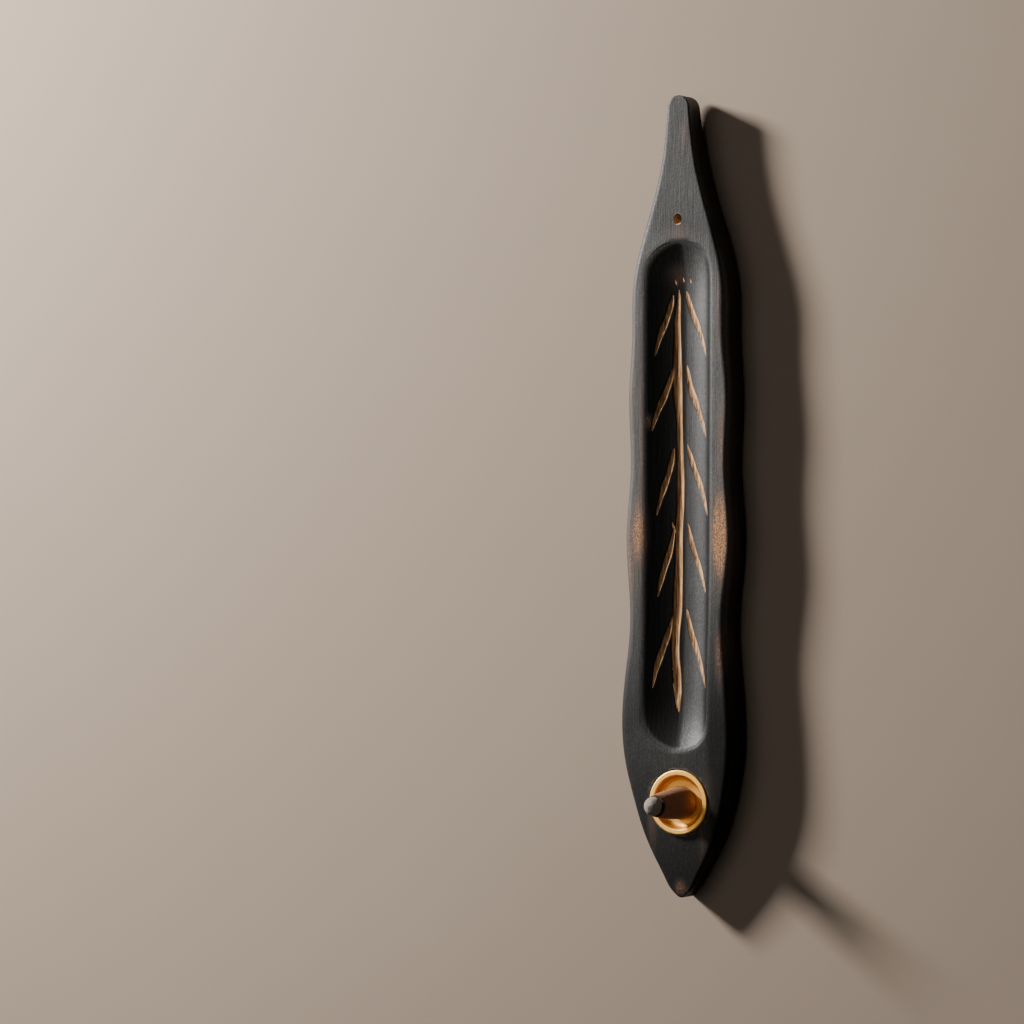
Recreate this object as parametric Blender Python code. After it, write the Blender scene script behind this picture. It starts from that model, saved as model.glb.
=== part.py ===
"""Carved wooden incense holder with a brass cone dish and an incense cone.

The holder lies on its flat back with its carved face up. Units are metres and +Z is up.
+X runs along the board from its sharp point, where the dish is, to its narrow beak.
The origin is the middle of the board's length and width, on the surface that it lies on.
"""

import math

import bmesh
import bpy
import numpy as np
from mathutils import Matrix, Vector

# Board: overall sizes.
LENGTH = 0.268
WIDTH = 0.0416
THICKNESS = 0.0132  # at the flat middle of the carved face
FACE_EDGE_RADIUS = 0.0022
BACK_EDGE_RADIUS = 0.0024
EDGE_NARROWS_BELOW = 0.7  # share of half the width under which the edges' rounding shrinks with it
BEAK_ROUNDING = 0.004  # length over which the beak's end closes to a round

# Board outline: (share of the length from the point, share of half the width).
OUTLINE = (
    (0.000, 0.034),
    (0.009, 0.168),
    (0.028, 0.339),
    (0.053, 0.519),
    (0.090, 0.726),
    (0.120, 0.837),
    (0.165, 0.957),
    (0.210, 1.000),
    (0.284, 0.933),
    (0.344, 0.875),
    (0.449, 0.957),
    (0.538, 0.882),
    (0.628, 0.916),
    (0.700, 0.860),
    (0.762, 0.844),
    (0.822, 0.668),
    (0.881, 0.428),
    (0.941, 0.262),
    (0.978, 0.205),
    (1.000, 0.180),
)
# The centre line's sweep to one side: (share of the length from the point, share of half the width).
SWEEP = ((0, -0.02), (0.07, -0.055), (0.13, -0.045), (0.21, 0), (0.34, -0.02), (0.5, -0.04), (0.7, -0.05), (1, -0.045))

# How the ends thin out: (share of the length where it starts, amount at the end, power of the curve).
FACE_FALLS_TO_POINT = (0.17, 0.0036, 1.5)
FACE_FALLS_TO_BEAK = (0.71, 0.0008, 1.6)
BACK_RISES_TO_BEAK = (0.80, 0.0029, 1.3)
BACK_NARROWS_TO_POINT = (0.18, 0.0014, 0.8)
BACK_NARROWS_TO_BEAK = (0.80, 0.0005, 1.0)

# Brass dish that holds the cone.
DISH_FROM_POINT = 0.0321
DISH_ASIDE = -0.0003  # from the board's centre line
FLANGE_RADIUS = 0.0109
RIM_WIDTH = 0.0019
DISH_DEPTH = 0.003
DISH_FLOOR_THICKNESS = 0.0012
DISH_WALL = 0.0009
FLANGE_THICKNESS = 0.0012
FLANGE_EDGE = 0.0004
FLANGE_PROUD = 0.0006  # of the face at the dish's middle
DISH_FILLET = 0.0017
SEAT_GAP = 0.0003

# Hole for an incense stick, leaning so that the stick reaches over the trough.
HOLE_FROM_BEAK = 0.0415
HOLE_RADIUS = 0.0016
HOLE_LEAN = math.radians(30)
HOLE_DEPTH = 0.008

# Ash trough.
TROUGH_DEPTH = 0.0042
TROUGH_RIM = 0.0049  # narrowest wood beside the trough
TROUGH_TO_DISH = 0.0059
TROUGH_TO_HOLE = 0.0069
TROUGH_END = 0.022  # length over which the floor rises to each end
TROUGH_END_POWER = 2.6
TROUGH_CORNER = 0.013  # length over which the outline rounds off at each end
TROUGH_CORNER_POWER = 2.4
TROUGH_LEFT_POWER = 1.5  # the left side slopes almost evenly down to the middle
TROUGH_RIGHT_POWER = 2.5  # the right side has a rounder floor and a steeper wall
TROUGH_LIP = 0.0005

# Carved leaf: a midrib and pairs of side veins, cut as V grooves into the trough's floor.
VEIN_PAIRS = 5
VEIN_FROM_END = 0.0172  # from the trough's beak end to the first vein and to the midrib
VEIN_PITCH_GAP = 0.0018  # between one vein's outer end and the next one's inner end
MIDRIB_TO_END = 0.0066
VEIN_INNER = 0.0023  # from the midrib's line to where a side vein starts
VEIN_OUTER = 0.0032  # from where a side vein ends to the trough's edge
VEIN_SPREAD = 1.06  # over 1, so that the veins stand further apart towards the point
MIDRIB_OFFSET = 0.0009
MIDRIB_WANDER = ((0, 0.2), (0.25, 0.5), (0.47, -0.8), (0.67, -0.3), (0.79, 1.0), (0.95, 0), (1, -0.5))
MIDRIB_SWAY = 0.0010
MIDRIB_WIDTH = 0.0030
MIDRIB_GROOVE = 0.0008
VEIN_WIDTH = 0.0022
VEIN_GROOVE = 0.0006

# Incense cone, burnt at its tip, standing in the dish.
CONE_OFFSET = (-0.0003, 0)
CONE_RADIUS = 0.00565
CONE_TOP_RADIUS = 0.0036
CONE_HEIGHT = 0.019
CONE_BULGE = 1.8
CONE_EDGE = 0.0003
ASH_RADIUS = 0.0033
ASH_HEIGHT = 0.0041

# Facets.
STATIONS = 54
ROUND_SEGMENTS = 48
HOLE_SEGMENTS = 20


def smooth_curve(points):
    """A natural cubic spline through (position, value) points, as a function."""
    x, y = (np.array(column, float) for column in zip(*points))
    h = np.diff(x)
    slopes = np.diff(y) / h
    n = len(x)
    matrix = np.eye(n)
    right = np.zeros(n)
    for i in range(1, n - 1):
        matrix[i, i - 1 : i + 2] = h[i - 1], 2 * (h[i - 1] + h[i]), h[i]
        right[i] = 6 * (slopes[i] - slopes[i - 1])
    bend = np.linalg.solve(matrix, right)

    def value(at):
        i = int(np.clip(np.searchsorted(x, at) - 1, 0, n - 2))
        a, b = x[i + 1] - at, at - x[i]
        ends = (bend[i] * a**3 + bend[i + 1] * b**3) / (6 * h[i])
        lines = (y[i] / h[i] - bend[i] * h[i] / 6) * a + (y[i + 1] / h[i] - bend[i + 1] * h[i] / 6) * b
        return float(ends + lines)

    return value


outline_share = smooth_curve(OUTLINE)
sweep_share = smooth_curve(SWEEP)
midrib_share = smooth_curve(MIDRIB_WANDER)

DISH_X = -LENGTH / 2 + DISH_FROM_POINT
HOLE_X = LENGTH / 2 - HOLE_FROM_BEAK
DISH_Y = WIDTH / 2 * sweep_share(DISH_FROM_POINT / LENGTH) + DISH_ASIDE
HOLE_Y = WIDTH / 2 * sweep_share(1 - HOLE_FROM_BEAK / LENGTH)
TROUGH_LOW = DISH_X + FLANGE_RADIUS + TROUGH_TO_DISH
TROUGH_HIGH = HOLE_X - TROUGH_TO_HOLE


def share_of(x):
    """How far x is along the board: 0 at its point and 1 at its beak."""
    return (x + LENGTH / 2) / LENGTH


def towards_point(x, start, amount, power):
    return amount * max(1 - share_of(x) / start, 0) ** power


def towards_beak(x, start, amount, power):
    return amount * max((share_of(x) - start) / (1 - start), 0) ** power


def half_width(x):
    """Half the board's width at x."""
    from_beak = LENGTH / 2 - x
    closing = 1.0
    if from_beak < BEAK_ROUNDING:
        closing = math.sqrt(max(1 - (1 - from_beak / BEAK_ROUNDING) ** 2, 0.05))
    return WIDTH / 2 * outline_share(share_of(x)) * closing


def centre_line(x):
    """The Y of the middle of the board's width at x."""
    return WIDTH / 2 * sweep_share(share_of(x))


def face_height(x):
    """Height of the carved face, level in the middle and falling towards both ends."""
    return THICKNESS - towards_point(x, *FACE_FALLS_TO_POINT) - towards_beak(x, *FACE_FALLS_TO_BEAK)


def back_height(x):
    return towards_beak(x, *BACK_RISES_TO_BEAK)


def back_half_width(x):
    drawn_in = towards_point(x, *BACK_NARROWS_TO_POINT) + towards_beak(x, *BACK_NARROWS_TO_BEAK)
    return half_width(x) - min(drawn_in, 0.4 * half_width(x))


WAIST = min(half_width(x) for x in np.linspace(TROUGH_LOW + TROUGH_END, TROUGH_HIGH - TROUGH_END, 40))
TROUGH_HALF_WIDTH = WAIST - TROUGH_RIM


def past_end(x, length):
    """How far x is into a stretch of this length at either end of the trough: 0 before it, 1 at the end."""
    return max(TROUGH_LOW + length - x, x - (TROUGH_HIGH - length), 0) / length


def trough_depth(x, y):
    """Depth of the trough below the face: a hollow across the board whose floor rises to both ends."""
    rise = 1 - past_end(x, TROUGH_END) ** TROUGH_END_POWER
    off = y - centre_line(x)
    power = TROUGH_LEFT_POWER if off > 0 else TROUGH_RIGHT_POWER
    across = min(abs(off) / TROUGH_HALF_WIDTH, 3) ** power
    wall = across + past_end(x, TROUGH_CORNER) ** TROUGH_CORNER_POWER
    depth = TROUGH_DEPTH * (rise - max(rise, 0.05) * wall - (1 - rise) * max(wall - 1, 0))
    return (depth + math.hypot(depth, TROUGH_LIP)) / 2


def top_height(x, y):
    return face_height(x) - trough_depth(x, y)


def top_normal(x, y):
    step = 0.0002
    slope_x = (top_height(x + step, y) - top_height(x - step, y)) / (2 * step)
    slope_y = (top_height(x, y + step) - top_height(x, y - step)) / (2 * step)
    return Vector((-slope_x, -slope_y, 1)).normalized()


def object_from(name, bm):
    bmesh.ops.recalc_face_normals(bm, faces=bm.faces)
    mesh = bpy.data.meshes.new(name)
    bm.to_mesh(mesh)
    bm.free()
    obj = bpy.data.objects.new(name, mesh)
    bpy.context.scene.collection.objects.link(obj)
    return obj


def skinned(name, rings):
    """A closed tube through rings of points: a grid bent round them, sewn along its seam and capped."""
    bm = bmesh.new()
    around = len(rings[0])
    # A grid of n segments has n + 1 columns, and its points run along x first.
    bmesh.ops.create_grid(bm, x_segments=around, y_segments=len(rings) - 1, size=1)
    bm.verts.ensure_lookup_table()
    for i, ring in enumerate(rings):
        for j in range(around + 1):
            bm.verts[i * (around + 1) + j].co = ring[j % around]
    bmesh.ops.remove_doubles(bm, verts=bm.verts, dist=1e-7)
    ends = [edge for edge in bm.edges if edge.is_boundary]
    bmesh.ops.holes_fill(bm, edges=ends, sides=0)
    return object_from(name, bm)


def turned(name, profile, segments, centre):
    """A solid turned about a vertical axis from (radius, height) points, first and last on the axis."""
    bm = bmesh.new()
    points = [bm.verts.new((radius, 0, height)) for radius, height in profile]
    edges = [bm.edges.new(pair) for pair in zip(points, points[1:])]
    bmesh.ops.spin(
        bm,
        geom=points + edges,
        cent=(0, 0, 0),
        axis=(0, 0, 1),
        angle=2 * math.pi,
        steps=segments,
        use_merge=True,
    )
    bmesh.ops.remove_doubles(bm, verts=bm.verts, dist=1e-7)
    obj = object_from(name, bm)
    obj.location = centre
    return obj


def arc(centre, radius, start, end, steps):
    """Points along an arc, with angles in degrees."""
    angles = np.radians(np.linspace(start, end, steps + 1))
    return [(centre[0] + radius * math.cos(a), centre[1] + radius * math.sin(a)) for a in angles]


def material(name, colour, roughness, metallic=0.0):
    made = bpy.data.materials.new(name)
    made.use_nodes = True
    shader = made.node_tree.nodes["Principled BSDF"]
    shader.inputs["Base Color"].default_value = (*colour, 1)
    shader.inputs["Roughness"].default_value = roughness
    shader.inputs["Metallic"].default_value = metallic
    made.diffuse_color = (*colour, 1)
    return made


def smooth(obj, degrees):
    obj.data.shade_smooth()
    obj.data.set_sharp_from_angle(angle=math.radians(degrees))


def board_section(x):
    """The board's outline across its width at x, from the middle of its back round to there again."""
    half, back_half, middle = half_width(x), back_half_width(x), centre_line(x)
    top, bottom = face_height(x), back_height(x)
    narrow = min(1, half / (WIDTH / 2 * EDGE_NARROWS_BELOW))
    front, back = FACE_EDGE_RADIUS * narrow, BACK_EDGE_RADIUS * narrow
    closing = max(1 - past_end(x, TROUGH_CORNER) ** TROUGH_CORNER_POWER, 0.05)
    sides = []
    for hand, power in ((1, TROUGH_LEFT_POWER), (-1, TROUGH_RIGHT_POWER)):
        edge = min(TROUGH_HALF_WIDTH * closing ** (1 / power), (half - front) / 1.15)
        points = [(back_half * 0.45, bottom)]
        points += arc((back_half - back, bottom + back), back, -90, 0, 2)
        points += arc((half - front, top - front), front, 0, 90, 3)
        for share in (1.07, 1.0, 0.95, 0.88, 0.79, 0.68, 0.55, 0.41, 0.27, 0.13):
            points.append((edge * share, top_height(x, middle + hand * edge * share)))
        sides.append([Vector((x, middle + hand * y, z)) for y, z in points])
    left, right = sides
    foot, crest = Vector((x, middle, bottom)), Vector((x, middle, top_height(x, middle)))
    return [foot, *left, crest, *reversed(right)]


def board_stations():
    """Where the board's sections stand: even steps, with closer ones at its ends and in both scoops."""
    low, high = -LENGTH / 2, LENGTH / 2
    close = [d for step in (0, 0.0012, 0.003) for d in (low + step, high - step)]
    for share in (0, 0.02, 0.06, 0.12, 0.21, 0.34, 0.52, 0.75):
        close += [TROUGH_LOW + TROUGH_END * share, TROUGH_HIGH - TROUGH_END * share]
    even = np.linspace(low, high, STATIONS + 1)
    step = LENGTH / STATIONS
    return sorted(close + [x for x in even if min(abs(x - other) for other in close) > step / 2])


def groove(name, path, width, depth):
    """A cutter for one V groove: a three-sided blade along a path of (x, y), thin at both ends."""
    above = 0.0015
    rings = []
    last = len(path) - 1
    for i, (x, y) in enumerate(path):
        fullness = max(math.sin(math.pi * i / last), 0) ** 0.8
        half, deep = max(width / 2 * fullness, 0.00012), depth * fullness
        before, after = path[max(i - 1, 0)], path[min(i + 1, last)]
        ahead = Vector((after[0] - before[0], after[1] - before[1], 0))
        up = top_normal(x, y)
        across = up.cross(ahead).normalized()
        # The blade's edge rises just clear of the wood at both tips.
        foot = Vector((x, y, top_height(x, y))) + up * (0.00012 * (1 - fullness) - deep)
        spread = half * (1 + above / max(deep, 0.0002)) if deep > 0.0002 else half * 2
        lift = up * (deep + above)
        rings.append([foot, foot + lift + across * spread, foot + lift - across * spread])
    return skinned(name, rings)


def vein_paths():
    """(name, path, width, depth) of the midrib and of each side vein."""
    start = TROUGH_HIGH - VEIN_FROM_END
    end = TROUGH_LOW + MIDRIB_TO_END
    midrib = []
    for t in np.linspace(0, 1, 29):
        x = start + (end - start) * t
        midrib.append((x, centre_line(x) + MIDRIB_OFFSET + MIDRIB_SWAY * midrib_share(t)))
    yield "midrib_cutter", midrib, MIDRIB_WIDTH, MIDRIB_GROOVE
    run = start - (TROUGH_LOW + TROUGH_END * 0.9)
    reach = run / VEIN_PAIRS - VEIN_PITCH_GAP
    edge = TROUGH_HALF_WIDTH - VEIN_OUTER
    for pair in range(VEIN_PAIRS):
        first = start - run * (pair / VEIN_PAIRS) ** VEIN_SPREAD
        for side in (1, -1):
            inner = MIDRIB_OFFSET + side * VEIN_INNER
            path = []
            for t in np.linspace(0, 1, 10):
                x = first - reach * t
                ease = 0.6 * (3 * t**2 - 2 * t**3) + 0.4 * t
                path.append((x, centre_line(x) + inner + (side * edge - inner) * ease))
            hand = "left" if side > 0 else "right"
            yield f"vein_cutter_{hand}_{pair + 1}", path, VEIN_WIDTH, VEIN_GROOVE


DISH_TOP = face_height(DISH_X) + FLANGE_PROUD
DISH_MOUTH = FLANGE_RADIUS - RIM_WIDTH
DISH_BODY = DISH_MOUTH + DISH_WALL
DISH_BOTTOM = DISH_TOP - DISH_DEPTH - DISH_FLOOR_THICKNESS


def dish_seat():
    """The stepped recess that the dish drops into: a shallow one for its flange and a deep one for its body."""
    above = DISH_TOP + 0.004
    shelf = DISH_TOP - FLANGE_THICKNESS - SEAT_GAP
    floor = DISH_BOTTOM - SEAT_GAP
    flange, body = FLANGE_RADIUS + SEAT_GAP, DISH_BODY + SEAT_GAP
    profile = [(0, floor), (body, floor), (body, shelf), (flange, shelf), (flange, above), (0, above)]
    return turned("dish_seat_cutter", profile, ROUND_SEGMENTS, (DISH_X, DISH_Y, 0))


def stick_hole():
    """A round cutter that leans towards the trough at its mouth."""
    above = 0.005
    profile = [(0, -HOLE_DEPTH), (HOLE_RADIUS, -HOLE_DEPTH), (HOLE_RADIUS, above), (0, above)]
    cutter = turned("stick_hole_cutter", profile, HOLE_SEGMENTS, (0, 0, 0))
    lean = Matrix.Rotation(-HOLE_LEAN, 4, "Y")
    cutter.data.transform(Matrix.Translation((HOLE_X, HOLE_Y, face_height(HOLE_X))) @ lean)
    return cutter


def make_board():
    """The carved board, with its seat, its hole and its leaf cut out."""
    board = skinned("holder_board", [board_section(x) for x in board_stations()])
    cutters = [dish_seat(), stick_hole()]
    cutters += [groove(*vein) for vein in vein_paths()]
    group = bpy.data.collections.new("cutters")
    bpy.context.scene.collection.children.link(group)
    for cutter in cutters:
        bpy.context.scene.collection.objects.unlink(cutter)
        group.objects.link(cutter)
        cutter.hide_render = True
        cutter.display_type = "WIRE"
    cut = board.modifiers.new("carving", "BOOLEAN")
    cut.operation = "DIFFERENCE"
    cut.operand_type = "COLLECTION"
    cut.collection = group
    cut.solver = "EXACT"
    smooth(board, 35)
    board.data.materials.append(material("stained_wood", (0.030, 0.025, 0.022), 0.5))
    return board


def make_dish():
    """The turned brass dish: a flat rim, a filleted bowl and a straight body under the flange."""
    floor_radius = DISH_MOUTH - DISH_FILLET - 0.0003
    profile = [(0, -DISH_DEPTH)]
    profile += arc((floor_radius, -DISH_DEPTH + DISH_FILLET), DISH_FILLET, -90, 0, 5)
    profile += [(DISH_MOUTH, -0.0002), (DISH_MOUTH + 0.0002, 0)]
    profile += arc((FLANGE_RADIUS - FLANGE_EDGE, -FLANGE_EDGE), FLANGE_EDGE, 90, 0, 3)
    bottom = DISH_BOTTOM - DISH_TOP
    profile += [
        (FLANGE_RADIUS, -FLANGE_THICKNESS),
        (DISH_BODY, -FLANGE_THICKNESS),
        (DISH_BODY, bottom + 0.0004),
        (DISH_BODY - 0.0004, bottom),
        (0, bottom),
    ]
    dish = turned("cone_dish", profile, ROUND_SEGMENTS, (DISH_X, DISH_Y, DISH_TOP))
    smooth(dish, 30)
    dish.data.materials.append(material("brass", (0.78, 0.55, 0.22), 0.25, 1.0))
    return dish


def cone_base():
    floor = DISH_TOP - DISH_DEPTH
    return (DISH_X + CONE_OFFSET[0], DISH_Y + CONE_OFFSET[1], floor + SEAT_GAP)


def cone_radius(height):
    """The pressed cone's radius: it bulges, and narrows faster towards its top."""
    return CONE_RADIUS - (CONE_RADIUS - CONE_TOP_RADIUS) * (height / CONE_HEIGHT) ** CONE_BULGE


def make_cone():
    """The unburnt part of the pressed incense cone."""
    sides = np.linspace(CONE_EDGE, CONE_HEIGHT, 10)
    profile = [(0, 0), (CONE_RADIUS - CONE_EDGE, 0)]
    profile += [(cone_radius(h), h) for h in sides]
    profile.append((0, CONE_HEIGHT))
    cone = turned("incense_cone", profile, ROUND_SEGMENTS, cone_base())
    smooth(cone, 40)
    cone.data.materials.append(material("incense", (0.16, 0.085, 0.045), 0.9))
    return cone


def make_ash():
    """The crumbly ash that stands where the tip has burnt."""
    foot = CONE_HEIGHT + SEAT_GAP
    domed = arc((0, 0), 1, 0, 90, 7)[:-1]
    profile = [(0, foot), (ASH_RADIUS * 0.93, foot)]
    waist = ASH_HEIGHT * 0.15
    profile += [(ASH_RADIUS * r, foot + waist + (ASH_HEIGHT - waist) * h) for r, h in domed]
    profile.append((0, foot + ASH_HEIGHT))
    ash = turned("ash_tip", profile, ROUND_SEGMENTS // 2, cone_base())
    smooth(ash, 50)
    ash.data.materials.append(material("ash", (0.34, 0.32, 0.31), 0.95))
    return ash


def main():
    for obj in list(bpy.data.objects):
        bpy.data.objects.remove(obj)
    make_board()
    make_dish()
    make_cone()
    make_ash()


main()
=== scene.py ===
import math

import bmesh
import bpy
import numpy as np
from mathutils import Matrix, Vector, noise


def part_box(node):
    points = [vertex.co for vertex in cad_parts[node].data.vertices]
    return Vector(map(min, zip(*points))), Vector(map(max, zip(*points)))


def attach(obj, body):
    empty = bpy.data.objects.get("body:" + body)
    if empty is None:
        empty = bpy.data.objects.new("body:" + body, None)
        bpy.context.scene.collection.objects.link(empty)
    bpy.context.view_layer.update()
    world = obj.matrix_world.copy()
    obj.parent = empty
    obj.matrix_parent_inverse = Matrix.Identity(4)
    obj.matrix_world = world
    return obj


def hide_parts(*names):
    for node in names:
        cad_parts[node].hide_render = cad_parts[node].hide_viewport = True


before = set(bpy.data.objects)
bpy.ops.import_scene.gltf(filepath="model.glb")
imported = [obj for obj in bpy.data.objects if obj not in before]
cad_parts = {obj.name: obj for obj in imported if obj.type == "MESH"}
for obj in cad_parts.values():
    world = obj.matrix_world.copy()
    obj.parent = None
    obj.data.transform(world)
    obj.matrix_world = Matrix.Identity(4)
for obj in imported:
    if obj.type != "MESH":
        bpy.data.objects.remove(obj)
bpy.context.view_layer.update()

# The board: one piece of close-grained wood, sawn to a leaf's outline, hollowed with gouges and stained
# black. Its face edges are rounded over by hand, its back is flat, and the veins are cut through the stain.
# The stain has rubbed through on the high places. A stick hole is drilled, and a stepped seat turned, into it.
board_low, board_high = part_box("holder_board")
board_length = board_high.x - board_low.x
board_half_width = (board_high.y - board_low.y) / 2 - 0.00005
board_thickness = board_high.z - board_low.z
dish_low, dish_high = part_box("cone_dish")
dish_middle = (dish_low + dish_high) / 2
board_outline = (  # share of the length from the point, share of the half width
    (0.000, 0.022), (0.009, 0.168), (0.028, 0.339), (0.053, 0.519), (0.090, 0.726), (0.120, 0.837),
    (0.165, 0.957), (0.210, 1.000), (0.284, 0.933), (0.344, 0.875), (0.449, 0.957), (0.538, 0.882),
    (0.628, 0.916), (0.700, 0.860), (0.762, 0.844), (0.822, 0.668), (0.881, 0.428), (0.941, 0.262),
    (0.978, 0.205), (1.000, 0.180),
)
board_sweep = (  # how far the middle wanders to either side, in the same shares
    (0, -0.02), (0.07, -0.055), (0.13, -0.045), (0.21, 0), (0.34, -0.02), (0.5, -0.04), (0.7, -0.05),
    (1, -0.045),
)
# The rounding of each long edge: how far along from the middle, and its radius, in millimetres.
left_edge_radius = ((-134, 1.6), (-100, 2.6), (0, 2.6), (90, 2.2), (134, 1.4))
right_edge_radius = (
    (-134, 1.4), (-108, 2.4), (-75, 2.3), (-40, 2.5), (-16, 1.5), (30, 1.5), (62, 2.5), (80, 1.6),
    (100, 1.0), (134, 0.9),
)
back_edge_radius = 0.0024
beak_rounding = 0.004
tip_rounding = 0.0008
trough_depth = 0.0042
trough_half_width = 0.01275
trough_scoop = 0.022  # the floor rises over this length at each end
trough_corner = 0.013  # and the sides close in over this one
scoop_power = 2.6
corner_power = 2.4
left_wall_power = 1.5
right_wall_power = 2.5
trough_low = dish_middle.x + 0.0168
trough_high = board_low.x + 0.2196
stick_hole_radius = 0.0016
stick_hole_depth = 0.008
stick_hole_lean = math.radians(30)
flange_thickness = 0.0012  # of the dish, which lies on a shelf cut for it
seat_gap = 0.0003
midrib_share = 0.17  # depth of the midrib's cut, as a share of its width
vein_depth = 0.00062
slip_depth = 0.00022
midrib = (  # along, across, width, in millimetres from the board's middle
    (69.2, 0.2, 0.1), (66.6, 0.3, 1.2), (58.9, 0.8, 2.2), (49.9, 0.8, 2.7), (42.5, 0.8, 3.3), (34.9, 0.7, 3.3),
    (24.6, 0.1, 2), (17, -0.1, 2.3), (5, -0.3, 2.7), (-5.1, -0.1, 2.8), (-12.4, 0.3, 2.8), (-20.1, 0.3, 2.6),
    (-31.9, 0.7, 3.5), (-38.1, 0.9, 3.5), (-45, 1.5, 3.1), (-52.8, 1.6, 2.9), (-59.1, 1.1, 3.1),
    (-65.3, 0.7, 2.7), (-69.4, 0.5, 1.3), (-73.4, 0.3, 0.7), (-78.5, 0.3, 0.1),
)
side_veins = (  # where each starts and ends, how far it sags between, and its width, in millimetres
    (68.9, -2.4, 46.9, -10.8, 0.02, 2.4), (44.1, -2.5, 19.4, -11, 0.1, 2.6),
    (17.5, -2.8, -6.8, -11.7, -0.01, 2.4), (-8.7, -3, -32.4, -10.8, 0.06, 2.2),
    (-37.2, -2.5, -63.8, -10.9, 0.05, 2.4), (67.8, 2.2, 46.9, 8.2, 0, 2.1), (43, 2.3, 21.6, 9.2, 0, 2.2),
    (16.6, 2, -6.5, 7.7, 0.03, 2.1), (-11, 2, -34.2, 7.5, 0, 2.1), (-40.3, 2.6, -64, 9, -0.07, 2.3),
)
slips = (  # short strokes where the gouge skidded or lifted fibres: start, end and width, in millimetres
    (73.2, 1.8, 70.2, 0.9, 0.65), (73.3, -1.4, 71.2, -1.6, 0.6), (73.2, -3.8, 71, -4.3, 0.6),
    (-57.5, 2.5, -64.5, 1.2, 0.8), (-61.5, 2.5, -68.5, 1.1, 0.9), (-65, 1.8, -71.5, 0.8, 0.8),
    (39.5, 3.2, 44.5, 1.1, 0.7), (-8, 2.9, -12.5, 1.5, 0.7),
)
rubbed_places = (  # along, across, reach along, reach across, in millimetres, and how far the stain is gone
    (-12, 13.6, 15, 3.6, 0.78), (-20, 16.5, 24, 4, 0.45), (-13, -16.9, 17, 3.6, 1.15),
    (18, -17.5, 24, 3, 0.42), (-52, -17, 14, 2.6, 0.5), (74, 0.5, 6, 5, 0.28), (88, -1.5, 3.5, 6, 0.35),
    (121, -3, 7, 2.2, 0.35), (-130.5, -0.6, 3.5, 3, 0.5), (25, 10.1, 3.5, 2.2, 0.5), (-108, 9, 14, 2.6, 0.36),
    (-112, -9.5, 12, 2, 0.34), (40, 16, 45, 4, 0.3), (60, -16.6, 18, 2.2, 0.35), (10, 12.6, 60, 1.2, 0.42),
    (-98, -12, 12, 5, 0.22),
)


def curve_through(points):
    """A natural cubic curve through (position, value) points, for numbers or arrays."""
    x, y = (np.array(column, float) for column in zip(*points))
    order = np.argsort(x)
    x, y = x[order], y[order]
    h, last = np.diff(x), len(x) - 1
    matrix, right = np.eye(len(x)), np.zeros(len(x))
    for i in range(1, last):
        matrix[i, i - 1 : i + 2] = h[i - 1], 2 * (h[i - 1] + h[i]), h[i]
        right[i] = 6 * ((y[i + 1] - y[i]) / h[i] - (y[i] - y[i - 1]) / h[i - 1])
    bend = np.linalg.solve(matrix, right)

    def value(at):
        at = np.asarray(at, float)
        i = np.clip(np.searchsorted(x, at) - 1, 0, last - 1)
        a, b, w = x[i + 1] - at, at - x[i], h[i]
        cubic = (bend[i] * a**3 + bend[i + 1] * b**3) / (6 * w)
        return cubic + (y[i] / w - bend[i] * w / 6) * a + (y[i + 1] / w - bend[i + 1] * w / 6) * b

    return value


outline_curve = curve_through(board_outline)
sweep_curve = curve_through(board_sweep)
midrib_across = curve_through([(x, y) for x, y, _ in midrib])


def along(x):
    return (x - board_low.x) / board_length


def towards_point(x, start, amount, power):
    return amount * np.maximum(1 - along(x) / start, 0) ** power


def towards_beak(x, start, amount, power):
    return amount * np.maximum((along(x) - start) / (1 - start), 0) ** power


def rounded_end(x, radius):
    """How far a surface has dropped where it rolls over at either end of the board."""
    inside = np.minimum(np.minimum(x - board_low.x, board_high.x - x), radius) / radius
    return radius * (1 - np.sqrt(np.maximum(1 - (1 - inside) ** 2, 0)))


def half_width(x):
    from_beak = np.clip((board_high.x - x) / beak_rounding, 0, 1)
    closing = np.sqrt(np.maximum(1 - (1 - from_beak) ** 2, 0.002))
    return board_half_width * outline_curve(along(x)) * closing


def centre_line(x):
    return board_half_width * sweep_curve(along(x))


def face_height(x):
    falls = towards_point(x, 0.17, 0.0036, 1.5) + towards_beak(x, 0.71, 0.0008, 1.6)
    return board_thickness - falls - rounded_end(x, tip_rounding)


def back_height(x):
    return towards_beak(x, 0.80, 0.0029, 1.3) + rounded_end(x, tip_rounding)


def past_end(x, length):
    """How far x is into the last stretch of this length at either end of the trough, 1 at the very end."""
    return np.maximum(np.maximum(trough_low + length - x, x - trough_high + length), 0) / length


def hollow(x, y):
    """Depth of the trough: one long slope on the left, a round floor and steeper wall on the right."""
    rise = 1 - past_end(x, trough_scoop) ** scoop_power
    off = y - centre_line(x)
    across = np.minimum(np.abs(off) / trough_half_width, 3)
    end = past_end(x, trough_corner)
    wall = np.where(off > 0, across**left_wall_power, across**right_wall_power)
    wall /= np.maximum(1 - end**corner_power, 0.1)
    outside = (1 - rise) * np.maximum(wall - 1, 0) + 4 * np.maximum(end - 1, 0)
    depth = trough_depth * (rise - np.maximum(rise, 0.05) * wall - outside)
    lip = 0.00042 + 0.00012 * np.tanh(off / 0.004)
    return (depth + np.sqrt(depth**2 + lip**2)) / 2 - lip**2 / (4 * trough_depth)


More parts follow.
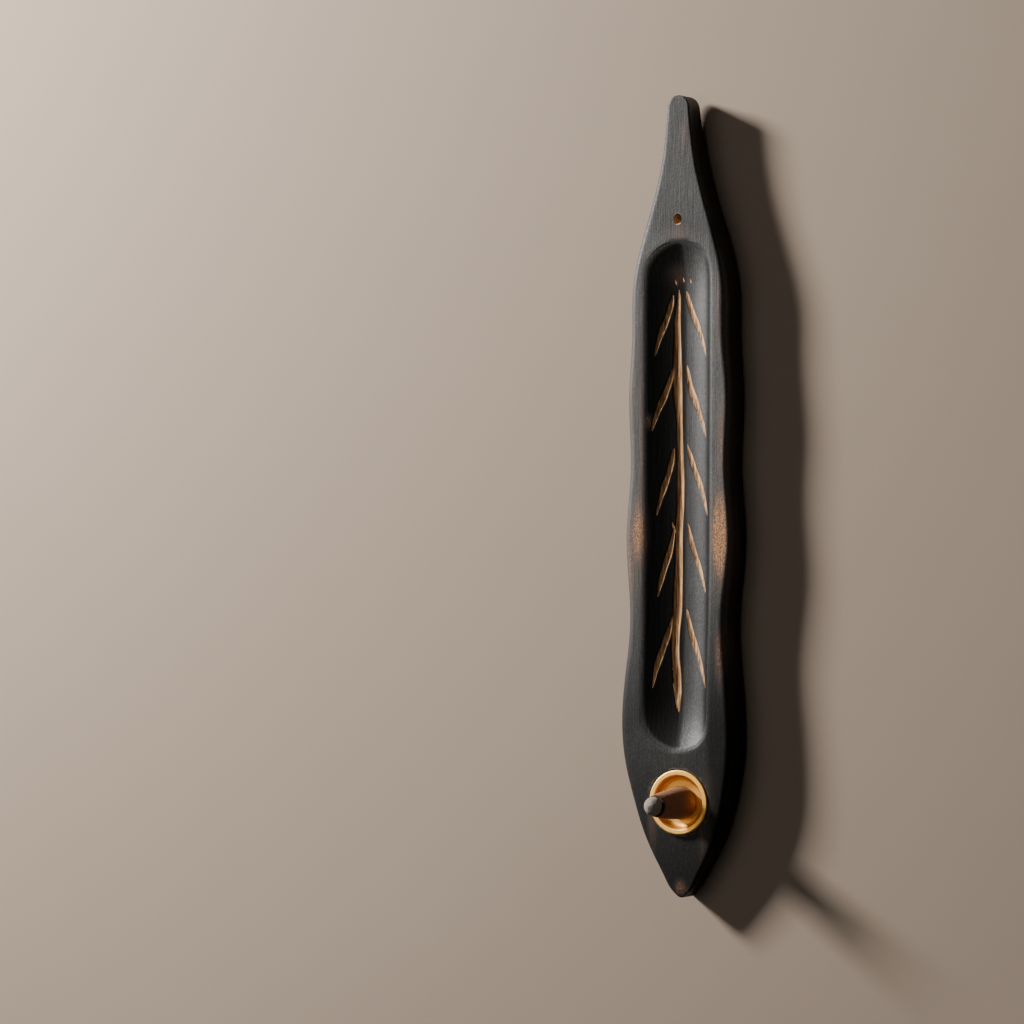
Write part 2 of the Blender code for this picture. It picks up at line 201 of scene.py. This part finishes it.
def gouge_cuts(x, y):
    """(depth of the veins, how carved each point is: 0.5 at a cut's lip and 1 along its bottom)."""
    deepest, carved = np.zeros_like(x), np.zeros_like(x)

    def cut(middle, half, deep, inside, hollowness=1.25):
        nonlocal deepest, carved
        share = np.where(inside, np.abs(y - middle) / np.maximum(half, 1e-5), 9)
        profile = np.clip(1 - share**hollowness, 0, 1)
        deepest = np.maximum(deepest, np.where(inside, deep * profile, 0))
        carved = np.maximum(carved, np.clip(1 - share / 2, 0, 1))

    mm_x, mm_y, mm_w = zip(*midrib[::-1])
    width = np.interp(x * 1000, mm_x, mm_w) / 1000
    inside = (x * 1000 < midrib[0][0]) & (x * 1000 > midrib[-1][0])
    ripple = 0.00006 * np.sin(y * 5200 + x * 60)
    deep = midrib_share * width + ripple * (width > 0.0012)
    cut(midrib_across(x * 1000) / 1000, width / 2, deep, inside, 1.8)
    carved *= np.clip((x + 0.0745) / 0.004, 0.3, 1)  # the midrib's thin tail is stained over
    for x0, y0, x1, y1, sag, wide in side_veins:
        t = (x * 1000 - x0) / (x1 - x0)
        inside = (t > 0) & (t < 1)
        t = np.clip(t, 0, 1)
        bow = t - 0.045 * np.sin(2 * np.pi * t) - sag * np.sin(np.pi * t)
        full = np.sin(np.pi * t**0.85) ** 0.75
        wavy = 1 + 0.10 * np.sin(t * 17 + x0)
        half = wide / 2000 * math.hypot(1, (y1 - y0) / (x1 - x0)) * full * wavy
        cut((y0 + (y1 - y0) * bow) / 1000, half, vein_depth * full, inside)
    for x0, y0, x1, y1, wide in slips:
        t = (x * 1000 - x0) / (x1 - x0)
        inside = (t > 0) & (t < 1)
        full = np.sin(np.pi * np.clip(t, 0, 1))
        cut((y0 + (y1 - y0) * t) / 1000, wide / 2000 * full, slip_depth * full, inside)
    return deepest, carved


def rubbed(x, y):
    """How far the stain is rubbed away, from 0 to 1."""
    worn = np.zeros_like(x)
    for px, py, reach_x, reach_y, amount in rubbed_places:
        far = ((x * 1000 - px) / reach_x) ** 2 + ((y * 1000 - py) / reach_y) ** 2
        worn = np.maximum(worn, amount * np.exp(-far * 1.3))
    return worn


def painted_shade(x, y):
    """Painted shade on the stain: the trough's left slope, wall and floor, the point, the beak and the right
    rim.
    """
    off = y - centre_line(x)
    deep = np.clip(hollow(x, y) / 0.0009, 0, 1)
    # Each term paints shade: the left slope, a band by the right wall, the floor, the point, the beak and the
    # right rim.
    slope = np.clip((off + 0.0045) / 0.005, 0, 1)
    slope = slope**2 * (3 - 2 * slope) * deep
    corner = 0.72 * np.exp(-(((off + 0.0114) / 0.0020) ** 2)) * deep
    floor = 0.5 * np.exp(-(((off + 0.002) / 0.005) ** 2)) * deep
    point = 0.6 * np.clip((-0.016 - x) / 0.06, 0, 1) + 0.15 * np.clip((-0.105 - x) / 0.02, 0, 1)
    beak = 0.46 * np.clip((x - 0.07) / 0.02, 0, 1) + 0.22 * np.clip((-0.011 - off) / 0.002, 0, 1)
    ends = np.where(deep > 0.6, 0.35 * point, point) + beak
    return np.maximum(np.maximum(slope, corner + floor), ends)


def spaced(start, end, steps):
    return np.linspace(start, end, steps + 1)[:-1]


# Sections stand close together in the trough, where the veins are, and wider apart elsewhere.
inner = spaced(trough_low - 0.001, trough_high + 0.001, 412)
point_end = board_low.x + (trough_low - 0.001 - board_low.x) * spaced(0, 1, 62) ** 1.35
beak_end = board_high.x - (board_high.x - trough_high - 0.001) * np.linspace(1, 0, 66) ** 1.35
stations = np.concatenate([point_end, inner, beak_end])

# Each section runs from the middle of the back, up one side, across the face and down the other side.
x = stations[:, None]
half, middle = half_width(x), centre_line(x)
drawn_in = towards_point(x, 0.18, 0.0014, 0.8) + towards_beak(x, 0.80, 0.0005, 1.0)
back_half = half - np.minimum(drawn_in, 0.4 * half)
top, bottom = face_height(x), back_height(x)
narrow = np.minimum(1, half / (board_half_width * 0.55))
turn = np.radians(spaced(-90, 0, 6))
roll = np.radians(spaced(0, 90, 10))
wall, rim = spaced(0, 1, 6), spaced(0, 1, 9)
floor = np.sin(np.linspace(1, 0, 52) * math.pi / 2) * 0.35 + np.linspace(1, 0, 52) * 0.65


def half_section(side, radii):
    """(across, height, carved, edge) from the middle of the back round one side to the middle of the face."""
    front = np.interp(x * 1000, *zip(*radii)) / 1000 * np.minimum(1, half / (board_half_width * 0.3))
    back = back_edge_radius * narrow
    closing = np.maximum(1 - past_end(x, trough_corner) ** corner_power, 0.05)
    closing **= 0.67 if side > 0 else 0.4  # the lip draws in as the straighter or the rounder wall does
    lip = np.minimum(trough_half_width * closing * 1.06, (half - front) / 1.02)
    side_offsets = [
        (back_half - back) * spaced(0, 1, 5),
        back_half - back + back * np.cos(turn),
        back_half + (half - back_half) * wall,
        half - front + front * np.cos(roll),
    ]
    side_heights = [
        bottom + 0 * spaced(0, 1, 5),
        bottom + back + back * np.sin(turn),
        bottom + back + (top - front - bottom - back) * wall,
        top - front + front * np.sin(roll),
    ]
    face = middle + side * np.concatenate([half - front + (lip - half + front) * rim, lip * floor], axis=1)
    cuts, carved = gouge_cuts(x + face * 0, face)
    face_heights = face_height(x) - hollow(x, face) - cuts
    edge = [np.zeros_like(part) for part in side_offsets[:3]]
    edge += [0 * x + np.sin(2 * roll), 0 * x + 0.25 * (1 - rim) ** 2, 0 * (x + floor)]
    across = np.concatenate([middle + side * offsets for offsets in side_offsets] + [face], axis=1)
    height = np.concatenate(side_heights + [face_heights], axis=1)
    carved = np.concatenate([np.zeros_like(part) for part in side_heights] + [carved], axis=1)
    return across, height, carved, np.concatenate(edge, axis=1)


ring = [
    np.concatenate([left, right[:, -2:0:-1]], axis=1)
    for left, right in zip(half_section(1, left_edge_radius), half_section(-1, right_edge_radius))
]
ring_y, ring_z, ring_carved, ring_edge = ring
ring_worn = rubbed(x + ring_y * 0, ring_y) * np.clip((ring_z - bottom) / 0.006, 0, 1)
# The sides below the face, outside the trough, are painted in shade as well.
side_painted_shade = 0.6 * np.clip((top - 0.0016 - ring_z) / 0.002, 0, 1) * (hollow(x, ring_y) < 0.0002)
ring_painted_shade = np.maximum(painted_shade(x + ring_y * 0, ring_y), side_painted_shade)
around = ring_y.shape[1]

bm = bmesh.new()
bmesh.ops.create_grid(bm, x_segments=around, y_segments=len(stations) - 1, size=1)
carved_mark = bm.verts.layers.float.new("carved")
worn_mark = bm.verts.layers.float.new("worn")
edge_mark = bm.verts.layers.float.new("edge")
# The black mark carries the painted shade.
painted_shade_mark = bm.verts.layers.float.new("black")
for n, vert in enumerate(bm.verts):
    i, j = divmod(n, around + 1)
    j %= around
    vert.co = (stations[i], ring_y[i, j], ring_z[i, j])
    vert[carved_mark] = ring_carved[i, j]
    vert[worn_mark] = ring_worn[i, j]
    vert[edge_mark] = ring_edge[i, j]
    vert[painted_shade_mark] = ring_painted_shade[i, j]
bmesh.ops.remove_doubles(bm, verts=bm.verts, dist=1e-7)
bmesh.ops.holes_fill(bm, edges=[edge for edge in bm.edges if edge.is_boundary], sides=0)
bmesh.ops.recalc_face_normals(bm, faces=bm.faces)
bm.normal_update()
# Hand tools leave the faces very slightly uneven, always inwards from the full outline.
for vert in bm.verts:
    spot = vert.co
    uneven = noise.noise(Vector((spot.x * 45, spot.y * 90, spot.z * 90))) - 0.6
    facets = noise.noise(Vector((spot.x * 260, spot.y * 500, spot.z * 400 + 7))) - 0.6
    if spot.z > 0.0004:
        vert.co -= vert.normal * max(0.00006 * -uneven + 0.000016 * -facets, 0)


def piece_from(name, bm):
    """The finished mesh as a smooth object at the origin."""
    mesh = bpy.data.meshes.new(name)
    bm.to_mesh(mesh)
    bm.free()
    made = bpy.data.objects.new(name, mesh)
    bpy.context.scene.collection.objects.link(made)
    mesh.shade_smooth()
    return made


def turned(profile, segments, centre, lean=0.0):
    """A solid turned about an upright axis from (radius, height) points, leant and set in place."""
    bm = bmesh.new()
    points = [bm.verts.new((radius, 0, height)) for radius, height in profile]
    edges = [bm.edges.new(pair) for pair in zip(points, points[1:])]
    whole = 2 * math.pi
    bmesh.ops.spin(
        bm, geom=points + edges, cent=(0, 0, 0), axis=(0, 0, 1), angle=whole, steps=segments, use_merge=True
    )
    bmesh.ops.remove_doubles(bm, verts=bm.verts, dist=1e-7)
    bmesh.ops.recalc_face_normals(bm, faces=bm.faces)
    set_in_place = Matrix.Translation(centre) @ Matrix.Rotation(lean, 4, "Y")
    bmesh.ops.transform(bm, matrix=set_in_place, verts=bm.verts)
    return bm


def part_of_arc(centre, radius, start, end, steps):
    angles = np.radians(np.linspace(start, end, steps + 1))
    return [(centre[0] + radius * math.cos(a), centre[1] + radius * math.sin(a)) for a in angles]


board = piece_from("carved_board", bm)
hole_x = board_low.x + 0.2265
hole_y = float(centre_line(hole_x))
hole_top = float(face_height(hole_x))
drill_profile = [(0, -stick_hole_depth), (stick_hole_radius - 0.0003, -stick_hole_depth)]
for height in (0.0006 - stick_hole_depth, -0.0006, 0.0008, 0.004):
    drill_profile.append((stick_hole_radius, height))
drill_profile.append((0, 0.004))
drill = piece_from("drill", turned(drill_profile, 40, (hole_x, hole_y, hole_top), lean=-stick_hole_lean))
seat_flange = dish_high.x - dish_middle.x + seat_gap
seat_body = seat_flange - 0.0010
seat_floor = dish_low.z - seat_gap
seat_shelf = dish_high.z - flange_thickness - seat_gap
seat_profile = [
    (0, seat_floor), (seat_body, seat_floor), (seat_body, seat_shelf), (seat_flange, seat_shelf),
    (seat_flange, dish_high.z + 0.004), (0, dish_high.z + 0.004),
]
seat_cutter = piece_from("seat_cutter", turned(seat_profile, 128, (dish_middle.x, dish_middle.y, 0)))


class Finish:
    """A procedural finish: one material, and short ways to add and join its nodes."""

    def __init__(self, name, **values):
        self.material = bpy.data.materials.new(name)
        self.material.use_nodes = True
        self.tree = self.material.node_tree
        self.shader = self.tree.nodes["Principled BSDF"]
        self.place = self.node("TexCoord").outputs["Object"]
        self.shade(**values)

    def set(self, socket, value):
        if isinstance(value, bpy.types.NodeSocket):
            self.tree.links.new(value, socket)
        else:
            socket.default_value = value

    def shade(self, **values):
        """Sets the shader's own sockets, each from a value or from a node."""
        for socket, value in values.items():
            self.set(self.shader.inputs[socket.replace("_", " ")], value)

    def node(self, kind, inputs=(), **settings):
        made = self.tree.nodes.new("ShaderNode" + kind)
        for key, value in settings.items():
            setattr(made, key, value)
        for key, value in dict(inputs).items():
            self.set(made.inputs[key], value)
        return made

    def mark(self, name):
        """The value painted on the piece's points under this name."""
        return self.node("Attribute", attribute_name=name).outputs["Fac"]

    def maths(self, operation, a, b=0.0):
        return self.node("Math", {0: a, 1: b}, operation=operation).outputs[0]

    def grain(self, scale, detail=3.0, rough=0.5, stretch=(1, 1, 1)):
        """Noise, drawn out along X, Y or Z by a stretch below 1."""
        laid = self.node("Mapping", {"Vector": self.place, "Scale": stretch}).outputs[0]
        values = {"Vector": laid, "Scale": scale, "Detail": detail, "Roughness": rough}
        return self.node("TexNoise", values).outputs["Fac"]

    def fade(self, value, low, high, to_low=0.0, to_high=1.0):
        values = {"Value": value, "From Min": low, "From Max": high, "To Min": to_low, "To Max": to_high}
        return self.node("MapRange", values, interpolation_type="SMOOTHSTEP").outputs[0]

    def blend(self, amount, first, second, mode="MIX"):
        made = self.node("Mix", data_type="RGBA", blend_type=mode)
        for key, value in ((0, amount), (6, first), (7, second)):
            self.set(made.inputs[key], value)
        return made.outputs[2]

    def bumped(self, *layers):
        """Bump from (height, depth in metres) layers, the coarsest first."""
        normal = None
        for height, depth in layers:
            values = {"Height": height, "Distance": depth, "Strength": 1.0}
            if normal is not None:
                values["Normal"] = normal
            normal = self.node("Bump", values).outputs[0]
        self.shade(Normal=normal)


stained = Finish("stained_wood")
fibres = stained.grain(1300, 4, 0.6, stretch=(0.07, 1, 1))
specks = stained.grain(3000, 2, 0.6, stretch=(0.6, 1, 1))
grit = stained.grain(1500, 3, 0.7)
clouds = stained.grain(60, 4, 0.55, stretch=(0.5, 1, 1))
black = stained.mark("black")
worn = stained.mark("worn")
# The stain is a cloudy, flecked dark grey with the fibres showing, painted nearly black where the black mark
# paints shade.
stain = stained.blend(stained.fade(clouds, 0.35, 0.7), (0.026, 0.027, 0.029, 1), (0.050, 0.049, 0.049, 1))
stain = stained.blend(stained.fade(fibres, 0.52, 0.75, 0, 0.45), stain, (0.066, 0.056, 0.048, 1))
flecked = stained.fade(stained.grain(2000, 4, 0.75, stretch=(0.5, 1, 1)), 0.38, 0.66)
flecks = stained.blend(flecked, (0.55, 0.55, 0.55, 1), (1.55, 1.53, 1.5, 1))
stain = stained.blend(1.0, stain, flecks, "MULTIPLY")
stain = stained.blend(stained.fade(black, 0, 1, 0, 0.92), stain, (0.0030, 0.0028, 0.0026, 1))
# Where it is rubbed it first turns a warm brown and then breaks up into specks of bare wood.
warm = stained.fade(worn, 0.05, 0.5, 0, 0.8)
warm = stained.maths("MULTIPLY", warm, stained.fade(fibres, 0.35, 0.6, 0.45, 1))
stain = stained.blend(warm, stain, (0.105, 0.062, 0.046, 1))
wood_tone = stained.blend(stained.fade(specks, 0.3, 0.7), (0.12, 0.046, 0.018, 1), (0.60, 0.29, 0.125, 1))
broken = stained.maths("ADD", stained.maths("MULTIPLY", specks, 0.9), stained.maths("MULTIPLY", grit, 0.7))
worn_through = stained.maths("MULTIPLY", stained.maths("SUBTRACT", broken, 0.8), 0.9)
worn_through = stained.fade(stained.maths("ADD", worn, worn_through), 0.35, 1.0)
worn_through = stained.maths("MULTIPLY", worn_through, stained.fade(worn, 0.15, 0.5))
edge_nicks = stained.fade(stained.grain(420, 4, 0.7, stretch=(0.5, 1, 1)), 0.56, 0.72)
edge_nicks = stained.maths("MULTIPLY", stained.mark("edge"), edge_nicks)
edge_nicks = stained.maths("MULTIPLY", edge_nicks, stained.fade(clouds, 0.45, 0.6, 0, 0.5))
skin = stained.blend(worn_through, stain, wood_tone)
skin = stained.blend(edge_nicks, skin, (0.10, 0.045, 0.028, 1))
# The cuts were made through the stain, so they are bare wood with ragged brown edges.
cut_fibres = stained.fade(stained.grain(1500, 4, 0.6, stretch=(0.06, 1, 1)), 0.38, 0.62)
cut_tone = stained.blend(cut_fibres, (0.25, 0.115, 0.042, 1), (0.74, 0.45, 0.23, 1))
ragged = stained.maths("MULTIPLY", stained.maths("SUBTRACT", specks, 0.5), 0.12)
ragged = stained.maths("ADD", stained.mark("carved"), ragged)
in_cut = stained.fade(ragged, 0.50, 0.58)
bare_cut = stained.fade(stained.mark("carved"), 0.5, 0.70)
bare_cut = stained.blend(bare_cut, (0.12, 0.056, 0.026, 1), cut_tone)
satin = stained.fade(grit, 0.3, 0.7, 0.46, 0.60)
dry = stained.maths("MULTIPLY", stained.maths("MAXIMUM", in_cut, worn_through), 0.25)
stained.shade(
    Base_Color=stained.blend(in_cut, skin, bare_cut),
    Roughness=stained.maths("ADD", satin, dry),
    # The painted shade also takes most of the gloss away.
    Specular_IOR_Level=stained.fade(black, 0, 1, 0.62, 0.08),
)
stained.bumped((clouds, 0.00010), (fibres, 0.00009), (grit, 0.00004), (specks, 0.00005))

raw = Finish("raw_wood", Roughness=0.8)
raw_fibres = raw.grain(1500, 4, 0.6, stretch=(0.2, 1, 1))
raw.shade(Base_Color=raw.blend(raw_fibres, (0.30, 0.17, 0.08, 1), (0.75, 0.52, 0.30, 1)))
raw.bumped((raw.grain(2500, 3), 0.00004))

seat_wood = Finish("seat_wood", Roughness=0.6)
seat_tone = seat_wood.blend(seat_wood.grain(900), (0.02, 0.018, 0.016, 1), (0.05, 0.035, 0.025, 1))
seat_wood.shade(Base_Color=seat_tone)
seat_wood.bumped((seat_wood.grain(2500, 3), 0.00003))

# The stick hole is drilled and the seat turned out of the board, each leaving its own bare or dark wood.
board.data.materials.append(stained.material)
for cutter, finish in ((drill, raw), (seat_cutter, seat_wood)):
    cutter.data.materials.append(finish.material)
    board.data.materials.append(finish.material)
    cut = board.modifiers.new("cut", "BOOLEAN")
    cut.operation = "DIFFERENCE"
    cut.object = cutter
    cut.solver = "EXACT"
    cut.material_mode = "TRANSFER"
bpy.context.view_layer.update()
carved_mesh = bpy.data.meshes.new_from_object(board.evaluated_get(bpy.context.evaluated_depsgraph_get()))
board.modifiers.clear()
board.data = carved_mesh
for cutter in (drill, seat_cutter):
    bpy.data.objects.remove(cutter)
carved_mesh.set_sharp_from_angle(angle=math.radians(42))
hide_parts("holder_board")
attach(board, "holder")

# The dish: turned from brass bar, with a flat rim softly rounded outside, a bowl and a flat floor for the cone.
# It is pressed into its stepped seat, and its rim is polished along the turning with a fine satin scratch.
rim_radius = (dish_high.x - dish_low.x) / 2
dish_top = dish_high.z
bowl_mouth = rim_radius - 0.0019
bowl_depth = 0.003
bowl_fillet = 0.0017
body_radius = bowl_mouth + 0.0009
bowl_floor = dish_top - bowl_depth
dish_profile = [(0, bowl_floor), (0.003, bowl_floor)]
fillet_centre = (bowl_mouth - bowl_fillet - 0.0003, bowl_floor + bowl_fillet)
dish_profile += part_of_arc(fillet_centre, bowl_fillet, -90, -4, 14)
dish_profile += part_of_arc((bowl_mouth + 0.00035, dish_top - 0.00035), 0.00035, 172, 90, 6)
dish_profile += [(rim_radius - 0.0011, dish_top), (rim_radius - 0.0008, dish_top - 0.00002)]
dish_profile += part_of_arc((rim_radius - 0.0006, dish_top - 0.0006), 0.0006, 90, 0, 8)
dish_profile += [(rim_radius, dish_top - flange_thickness), (body_radius, dish_top - flange_thickness)]
dish_profile += [(body_radius, dish_low.z + 0.0004), (body_radius - 0.0004, dish_low.z), (0, dish_low.z)]
dish = piece_from("brass_dish", turned(dish_profile, 192, (dish_middle.x, dish_middle.y, 0)))
dish.data.set_sharp_from_angle(angle=math.radians(35))

brass = Finish("turned_brass", Metallic=1.0)
offset = brass.node("VectorMath", {0: brass.place, 1: tuple(-dish_middle)}, operation="ADD").outputs[0]
along_x, across_y, up_z = brass.node("SeparateXYZ", {0: offset}).outputs
squares = [brass.maths("MULTIPLY", way, way) for way in (along_x, across_y)]
radius = brass.maths("SQRT", brass.maths("ADD", *squares))
rings = brass.node("CombineXYZ", {0: radius, 1: up_z}).outputs[0]
turning = brass.node("TexNoise", {"Vector": rings, "Scale": 9000.0, "Detail": 2.0}).outputs["Fac"]
way_round = brass.maths("MULTIPLY", brass.maths("ARCTAN2", across_y, along_x), 0.6)
brushing = brass.node("CombineXYZ", {0: way_round, 1: brass.maths("MULTIPLY", radius, 40)}).outputs[0]
brushed = brass.node("TexNoise", {"Vector": brushing, "Scale": 60.0, "Detail": 3.0}).outputs["Fac"]
tarnish = brass.grain(260, 4, 0.6)
# Painted shade: the brass is darker and more orange down in the bowl, most of all at its floor.
deep = brass.fade(up_z, -0.0005, 0.0021)
metal = brass.blend(brass.fade(tarnish, 0.35, 0.75), (1.0, 0.60, 0.145, 1), (0.97, 0.50, 0.10, 1))
metal = brass.blend(brass.fade(deep, 0, 1, 0.6, 0.0), metal, (0.84, 0.41, 0.09, 1))
satin = brass.fade(brass.maths("ADD", brushed, tarnish), 0.6, 1.4, 0.46, 0.60)
brass.shade(Base_Color=metal, Roughness=satin)
brass.bumped((tarnish, 0.00006), (brushed, 0.00003), (turning, 0.00001))
dish.data.materials.append(brass.material)
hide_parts("cone_dish")
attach(dish, "holder")

# The incense cone: brown powder pressed in a mould, so it is matt and slightly pitted, with a thin lip at
# its foot. It only stands in the dish. Its top is scorched where the burning has reached.
cone_low, cone_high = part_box("incense_cone")
cone_middle = (cone_low + cone_high) / 2
cone_foot = (cone_high.x - cone_low.x) / 2
cone_height = cone_high.z - cone_low.z
cone_top_radius = 0.0037
cone_profile = [(0, 0.0002), (cone_foot - 0.0009, 0.0002), (cone_foot - 0.0007, 0)]
cone_profile += part_of_arc((cone_foot - 0.0003, 0.0003), 0.0003, -90, 60, 6)
cone_wall = cone_foot - 0.0002
for share in np.linspace(0.05, 0.965, 34):
    cone_profile.append((cone_wall - (cone_wall - cone_top_radius) * share**1.6, cone_height * share))
cone_profile += part_of_arc((cone_top_radius - 0.0006, cone_height - 0.0006), 0.0006, 20, 90, 6)
cone_profile += [(0, cone_height)]
bm = turned(cone_profile, 128, (cone_middle.x, cone_middle.y, cone_low.z))
bm.normal_update()
for vert in bm.verts:
    lumps = noise.noise(vert.co * 420) + 0.6 * noise.noise(vert.co * 1300)
    vert.co -= vert.normal * max(0.00010 + 0.00006 * lumps, 0)
cone = piece_from("pressed_cone", bm)
cone.data.set_sharp_from_angle(angle=math.radians(50))

incense = Finish("pressed_incense", Roughness=0.93, Specular_IOR_Level=0.25)
powder = incense.grain(1800, 5, 0.7)
flecks = incense.grain(3400, 2, 0.5, stretch=(1, 1, 0.6))
up_z = incense.node("SeparateXYZ", {0: incense.place}).outputs[2]
body_tone = incense.blend(powder, (0.135, 0.060, 0.028, 1), (0.50, 0.26, 0.145, 1))
body_tone = incense.blend(incense.fade(flecks, 0.62, 0.74, 0, 0.6), body_tone, (0.42, 0.26, 0.16, 1))
from_top = incense.maths("SUBTRACT", up_z, cone_high.z)
from_top = incense.maths("ADD", from_top, incense.maths("MULTIPLY", powder, 0.0012))
scorch = incense.fade(from_top, -0.0007, 0.0009)
incense.shade(Base_Color=incense.blend(scorch, body_tone, (0.018, 0.013, 0.011, 1)))
incense.bumped((powder, 0.00018), (flecks, 0.00006))
cone.data.materials.append(incense.material)
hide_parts("incense_cone")
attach(cone, "cone")

# The ash: what is left of the burnt tip, a soft and lumpy grey cap with charred patches.
# It has not dropped off yet, so it sits on the scorched top of the cone and moves with it.
ash_low, ash_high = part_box("ash_tip")
ash_middle = (ash_low + ash_high) / 2
ash_radius = (ash_high.x - ash_low.x) / 2
ash_height = ash_high.z - ash_low.z
bm = bmesh.new()
bmesh.ops.create_icosphere(bm, subdivisions=5, radius=1.0)
for vert in bm.verts:
    spot = vert.co.copy()
    if spot.z > 0:
        rise = ash_height * (0.22 + 0.78 * spot.z)
        wide = ash_radius * (1 - 0.10 * spot.z**2)
    else:
        rise = ash_height * 0.22 * (1 + spot.z)
        wide = ash_radius
    lumps = noise.noise(spot * 2.2) * 0.6 + noise.noise(spot * 6) * 0.3 + noise.noise(spot * 15) * 0.14
    shrink, sink = 1 - 0.045 * (1 + lumps), 1 - 0.03 * (1 + lumps)
    vert.co = Vector((spot.x * wide * shrink, spot.y * wide * shrink, ash_low.z + rise * sink))
    vert.co += Vector((ash_middle.x, ash_middle.y, 0))
bmesh.ops.recalc_face_normals(bm, faces=bm.faces)
ash = piece_from("ash_cap", bm)

ashes = Finish("ash_grey", Roughness=0.97, Specular_IOR_Level=0.2)
crumbs = ashes.grain(1500, 5, 0.7)
patches = ashes.grain(420, 3, 0.6)
grey = ashes.blend(crumbs, (0.16, 0.125, 0.105, 1), (0.44, 0.37, 0.325, 1))
charred = ashes.fade(patches, 0.56, 0.68, 0, 0.8)
grey = ashes.blend(charred, grey, (0.085, 0.062, 0.055, 1))
foot = ashes.maths("SUBTRACT", ashes.node("SeparateXYZ", {0: ashes.place}).outputs[2], ash_low.z)
grey = ashes.blend(ashes.fade(foot, 0.0, 0.0012, 1, 0), grey, (0.03, 0.024, 0.022, 1))
ashes.shade(Base_Color=grey)
ashes.bumped((patches, 0.0002), (crumbs, 0.00012))
ash.data.materials.append(ashes.material)
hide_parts("ash_tip")
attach(ash, "cone")

# The floor: one plain pale sheet that the holder lies on.
# It is there for the holder's shadow only and is no part of it.
bm = bmesh.new()
bmesh.ops.create_grid(bm, x_segments=2, y_segments=2, size=3)
floor_sheet = piece_from("floor", bm)
pale = Finish("pale_floor", Roughness=0.85)
pale_tone = pale.blend(pale.grain(30, 3), (0.355, 0.275, 0.21, 1), (0.37, 0.285, 0.22, 1))
pale.shade(Base_Color=pale_tone)
floor_sheet.data.materials.append(pale.material)

# The camera: it looks at the carved face from the board's right, 29.5 degrees off square, with the beak
# uppermost. It is moved a little to its own left, so that the board stands right of the middle.
turn_angle = math.radians(29.5)
camera_distance = 1.5
camera_aside = 0.0547
to_camera = Vector((0, -math.sin(turn_angle), math.cos(turn_angle)))
to_right = Vector((0, -math.cos(turn_angle), -math.sin(turn_angle)))
face_middle = Vector((-0.0051, -0.0007, board_thickness))
camera_data = bpy.data.cameras.new("camera")
camera_data.lens = 158.2
camera_data.sensor_width = 36
camera_data.clip_start = 0.05
camera = bpy.data.objects.new("camera", camera_data)
bpy.context.scene.collection.objects.link(camera)
turned_to = Matrix((to_right, Vector((1, 0, 0)), to_camera)).transposed().to_4x4()
stand = face_middle + camera_distance * to_camera - camera_aside * to_right
camera.matrix_world = Matrix.Translation(stand) @ turned_to
bpy.context.scene.camera = camera


# The lights: a key lamp low on the left that, with the shade painted into the stain, leaves the trough's left
# slope dark, and a wide one overhead.
# A warm card, high on the left, shows only in the gloss of the brass and the stain.
def soft_light(name, aim, direction, distance, width, height, power, colour):
    light = bpy.data.lights.new(name, "AREA")
    light.shape = "RECTANGLE"
    light.size, light.size_y = width, height
    light.energy = power
    light.color = colour
    lamp = bpy.data.objects.new(name, light)
    bpy.context.scene.collection.objects.link(lamp)
    way = Vector(direction).normalized()
    lamp.location = Vector(aim) + way * distance
    lamp.rotation_euler = way.to_track_quat("Z", "Y").to_euler()
    return lamp


soft_light("key", (0.03, 0, 0.01), (0.42, 0.79, 0.38), 0.90, 0.17, 0.17, 22.0, (1.0, 0.98, 0.95))
soft_light("fill", (0.02, 0, 0), (0.05, 0.12, 1.0), 1.2, 1.0, 1.0, 1.75, (1.0, 0.96, 0.92))
card = soft_light("reflector", (-0.10, 0, 0.01), (0.15, 0.49, 0.87), 0.9, 0.4, 0.4, 1.2, (1.0, 0.90, 0.70))
card.visible_diffuse = False
world = bpy.data.worlds.new("studio")
world.use_nodes = True
world.node_tree.nodes["Background"].inputs[0].default_value = (0.80, 0.80, 0.80, 1)
world.node_tree.nodes["Background"].inputs[1].default_value = 0.012
bpy.context.scene.world = world
